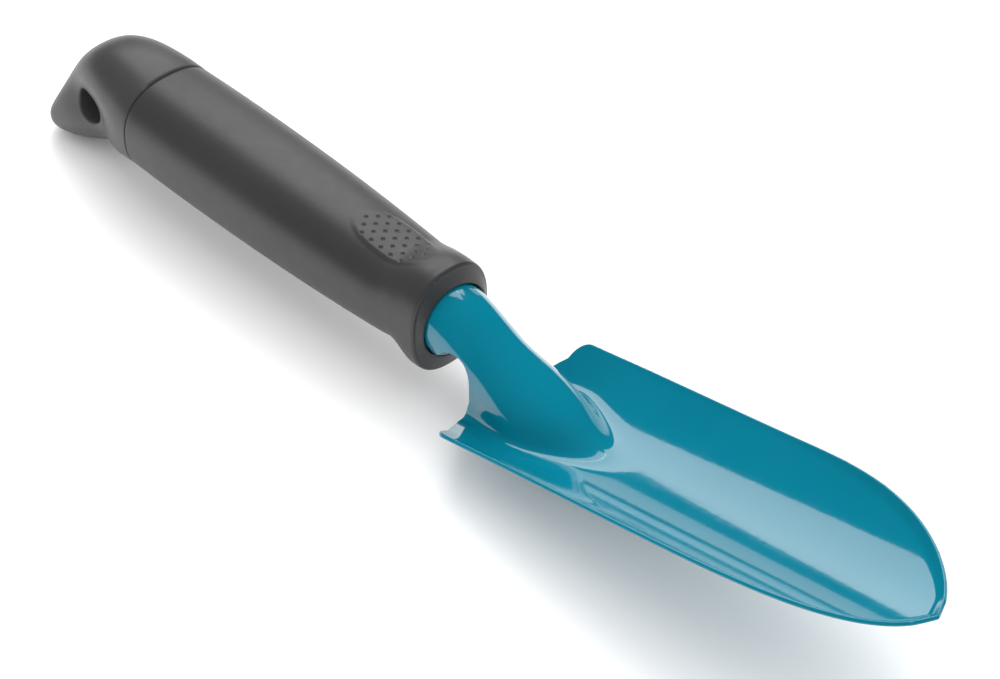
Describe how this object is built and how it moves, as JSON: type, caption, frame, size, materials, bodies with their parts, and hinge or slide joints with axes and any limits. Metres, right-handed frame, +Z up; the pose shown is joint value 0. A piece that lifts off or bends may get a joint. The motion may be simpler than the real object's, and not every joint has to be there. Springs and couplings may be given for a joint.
{
  "type": "hand trowel",
  "caption": "Narrow garden hand trowel: a pressed, painted steel scoop with a rolled neck, in a soft grip with a dimpled thumb pad, a finger stop and a bent end cap with a hang hole.",
  "frame": {"origin": "middle of the hang hole through the end cap", "axes": "+X along the grip towards the blade's tip, +Y along the hang hole, +Z up on the scoop's open side"},
  "size_m": [0.3353, 0.0526, 0.0395],
  "materials": {
    "blade": "glossy turquoise powder coat over pressed steel",
    "grip_core": "hard moulded polypropylene, hidden inside the sleeve",
    "grip_sleeve": "satin dark grey soft-touch elastomer",
    "end_cap": "satin dark grey moulded plastic"
  },
  "bodies": {
    "root": {"blade": "blade", "grip_core": "grip_core", "grip_sleeve": "grip_sleeve", "end_cap": "end_cap"}
  },
  "joints": []
}
